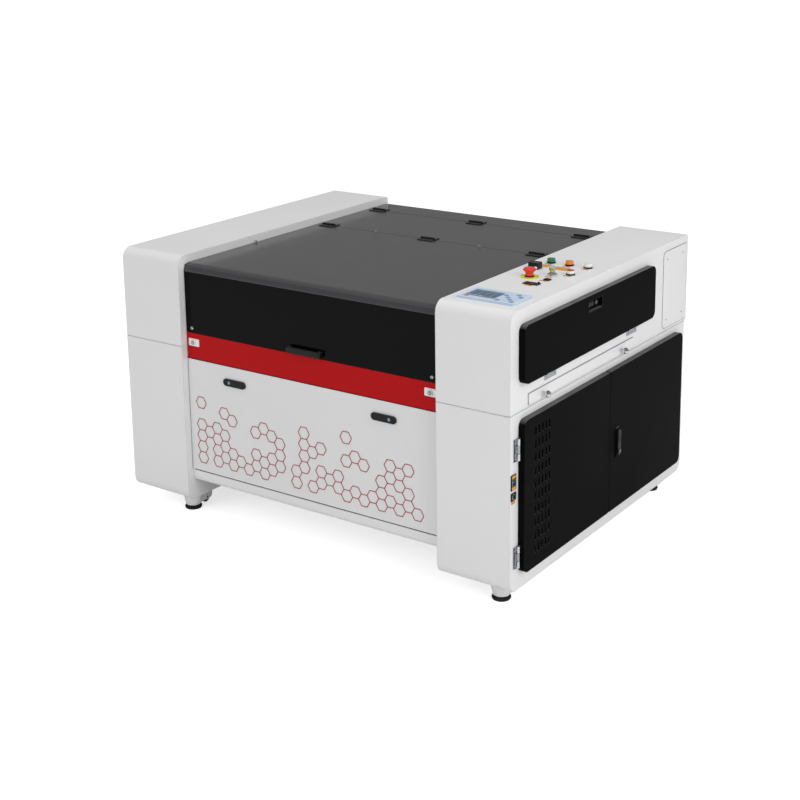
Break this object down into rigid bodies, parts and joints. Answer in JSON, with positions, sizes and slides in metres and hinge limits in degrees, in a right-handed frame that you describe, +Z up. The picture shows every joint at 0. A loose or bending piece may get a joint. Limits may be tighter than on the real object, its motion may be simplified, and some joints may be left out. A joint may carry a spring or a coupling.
{
  "type": "carbon dioxide laser cutting machine",
  "caption": "Floor-standing carbon dioxide laser cutting machine with two side cabinets, a folding lid, through-feed slots, a lifting table and a moving laser gantry.",
  "frame": {"origin": "middle of the footprint, on the floor under the levelling pads", "axes": "+Z up, +X to the operator's right, the front faces -Y"},
  "size_m": [1.624, 1.268, 0.971],
  "materials": {
    "white_powder": "satin powder coat",
    "pale_powder": "satin powder coat",
    "red_powder": "satin powder coat",
    "black_powder": "satin powder coat",
    "lid_coat": "gloss coat",
    "frame_coat": "matte powder coat",
    "smoked_acrylic": "polished",
    "black_plastic": "fine texture",
    "white_plastic": "satin",
    "chrome": "polished",
    "steel": "ground",
    "aluminium": "brushed",
    "rubber": "matte",
    "screen_blue": "membrane",
    "module_grey": "matte",
    "stop_red": "satin",
    "cap_green": "satin",
    "cap_orange": "satin",
    "cap_white": "satin",
    "cap_red": "satin",
    "tube_glass": "clear"
  },
  "bodies": {
    "root": {"base_frame": "frame_coat", "left_lower_cabinet": "white_powder", "right_lower_cabinet": "white_powder", "left_upper_cabinet": "white_powder", "right_upper_cabinet": "white_powder", "bottom_tray": "white_powder", "rear_panel": "white_powder", "rear_top_cover": "lid_coat", "lid_ledges": "pale_powder", "linear_rails": "steel", "tube_shelf": "pale_powder", "laser_tube": "tube_glass", "exhaust_spigot": "steel", "electronics_rack": "module_grey", "side_ports": "black_plastic", "service_covers": "white_powder", "left_service_panel": "white_powder", "lift_drive": "rubber", "lead_screws": "steel", "foot_housings": "white_powder", "foot_pads": "rubber", "control_screen": "screen_blue", "panel_fittings": "black_plastic", "rear_lid_hinges": "black_plastic", "side_door_hinges": "chrome", "leaf_hinges": "chrome"},
    "front_left_wheel": {"front_left_wheel": "black_plastic"},
    "front_right_wheel": {"front_right_wheel": "black_plastic"},
    "rear_left_wheel": {"rear_left_wheel": "black_plastic"},
    "rear_right_wheel": {"rear_right_wheel": "black_plastic"},
    "mid_lid": {"mid_lid": "lid_coat", "mid_lid_hinges": "black_plastic"},
    "front_lid": {"front_lid": "lid_coat", "front_lid_hinges": "black_plastic", "lid_window": "smoked_acrylic", "lid_handle": "black_plastic"},
    "slot_flap": {"slot_flap": "red_powder", "flap_catches": "white_plastic"},
    "front_panel": {"front_panel": "pale_powder"},
    "left_latch": {"left_latch": "black_plastic"},
    "right_latch": {"right_latch": "black_plastic"},
    "right_side_door": {"right_side_door": "black_powder"},
    "left_side_door": {"left_side_door": "black_powder"},
    "front_leaf": {"front_leaf": "black_powder"},
    "rear_leaf": {"rear_leaf": "black_powder"},
    "swing_lever": {"swing_lever": "black_plastic"},
    "right_slot_cover": {"right_slot_cover": "white_powder", "right_cover_knobs": "chrome"},
    "left_slot_cover": {"left_slot_cover": "white_powder", "left_cover_knobs": "chrome"},
    "work_table": {"work_table": "aluminium", "table_slats": "aluminium"},
    "gantry": {"gantry_beam": "aluminium"},
    "laser_head": {"laser_head": "aluminium"},
    "stop_button": {"stop_button": "stop_red"},
    "green_button": {"green_button": "cap_green"},
    "orange_button": {"orange_button": "cap_orange"},
    "white_button": {"white_button": "cap_white"},
    "red_button": {"red_button": "cap_red"},
    "key_switch": {"key_switch": "chrome"}
  },
  "joints": [
    {"name": "mid_lid_hinge", "type": "hinge", "parent": "root", "child": "mid_lid", "pos_m": [0, 0.448, 0.918], "axis": [-1, 0, 0], "range_deg": [0, 70]},
    {"name": "front_lid_hinge", "type": "hinge", "parent": "mid_lid", "child": "front_lid", "pos_m": [0, 0.126, 0.918], "axis": [-1, 0, 0], "range_deg": [0, 80]},
    {"name": "slot_flap_hinge", "type": "hinge", "parent": "root", "child": "slot_flap", "pos_m": [0, -0.607, 0.581], "axis": [1, 0, 0], "range_deg": [0, 85]},
    {"name": "front_panel_hinge", "type": "hinge", "parent": "root", "child": "front_panel", "pos_m": [0, -0.607, 0.1765], "axis": [1, 0, 0], "range_deg": [0, 90]},
    {"name": "left_latch_turn", "type": "hinge", "parent": "front_panel", "child": "left_latch", "pos_m": [-0.308, -0.608, 0.5235], "axis": [0, 1, 0], "range_deg": [0, 90]},
    {"name": "right_latch_turn", "type": "hinge", "parent": "front_panel", "child": "right_latch", "pos_m": [0.308, -0.608, 0.5235], "axis": [0, 1, 0], "range_deg": [0, 90]},
    {"name": "right_side_door_hinge", "type": "hinge", "parent": "root", "child": "right_side_door", "pos_m": [0.786, -0.151, 0.705], "axis": [0, 1, 0], "range_deg": [0, 90]},
    {"name": "left_side_door_hinge", "type": "hinge", "parent": "root", "child": "left_side_door", "pos_m": [-0.786, -0.151, 0.705], "axis": [0, -1, 0], "range_deg": [0, 90]},
    {"name": "front_leaf_hinge", "type": "hinge", "parent": "root", "child": "front_leaf", "pos_m": [0.786, -0.593, 0.359], "axis": [0, 0, -1], "range_deg": [0, 110]},
    {"name": "rear_leaf_hinge", "type": "hinge", "parent": "root", "child": "rear_leaf", "pos_m": [0.786, 0.524, 0.359], "axis": [0, 0, 1], "range_deg": [0, 110]},
    {"name": "swing_lever_turn", "type": "hinge", "parent": "rear_leaf", "child": "swing_lever", "pos_m": [0.806, 0.021, 0.38085], "axis": [1, 0, 0], "range_deg": [0, 90]},
    {"name": "right_cover_pull", "type": "slide", "parent": "root", "child": "right_slot_cover", "axis": [1, 0, 0], "range_m": [0, 0.03]},
    {"name": "left_cover_pull", "type": "slide", "parent": "root", "child": "left_slot_cover", "axis": [-1, 0, 0], "range_m": [0, 0.03]},
    {"name": "table_lift", "type": "slide", "parent": "root", "child": "work_table", "axis": [0, 0, 1], "range_m": [-0.2, 0]},
    {"name": "gantry_slide", "type": "slide", "parent": "root", "child": "gantry", "axis": [0, 1, 0], "range_m": [-0.56, 0]},
    {"name": "head_slide", "type": "slide", "parent": "gantry", "child": "laser_head", "axis": [1, 0, 0], "range_m": [-0.8, 0]},
    {"name": "stop_button_press", "type": "slide", "parent": "root", "child": "stop_button", "axis": [0, 0, -1], "range_m": [0, 0.003], "stiffness_N_per_m": 400},
    {"name": "green_button_press", "type": "slide", "parent": "root", "child": "green_button", "axis": [0, 0, -1], "range_m": [0, 0.003], "stiffness_N_per_m": 400},
    {"name": "orange_button_press", "type": "slide", "parent": "root", "child": "orange_button", "axis": [0, 0, -1], "range_m": [0, 0.003], "stiffness_N_per_m": 400},
    {"name": "white_button_press", "type": "slide", "parent": "root", "child": "white_button", "axis": [0, 0, -1], "range_m": [0, 0.003], "stiffness_N_per_m": 400},
    {"name": "red_button_press", "type": "slide", "parent": "root", "child": "red_button", "axis": [0, 0, -1], "range_m": [0, 0.003], "stiffness_N_per_m": 400},
    {"name": "key_turn", "type": "hinge", "parent": "root", "child": "key_switch", "pos_m": [0.666, -0.186, 0.944], "axis": [0, 0, 1], "range_deg": [0, 90]},
    {"name": "front_left_wheel_spin", "type": "hinge", "parent": "root", "child": "front_left_wheel", "pos_m": [-0.576, -0.5, 0.023], "axis": [1, 0, 0], "continuous": true},
    {"name": "front_right_wheel_spin", "type": "hinge", "parent": "root", "child": "front_right_wheel", "pos_m": [0.704, -0.5, 0.023], "axis": [1, 0, 0], "continuous": true},
    {"name": "rear_left_wheel_spin", "type": "hinge", "parent": "root", "child": "rear_left_wheel", "pos_m": [-0.576, 0.538, 0.023], "axis": [1, 0, 0], "continuous": true},
    {"name": "rear_right_wheel_spin", "type": "hinge", "parent": "root", "child": "rear_right_wheel", "pos_m": [0.704, 0.538, 0.023], "axis": [1, 0, 0], "continuous": true}
  ]
}
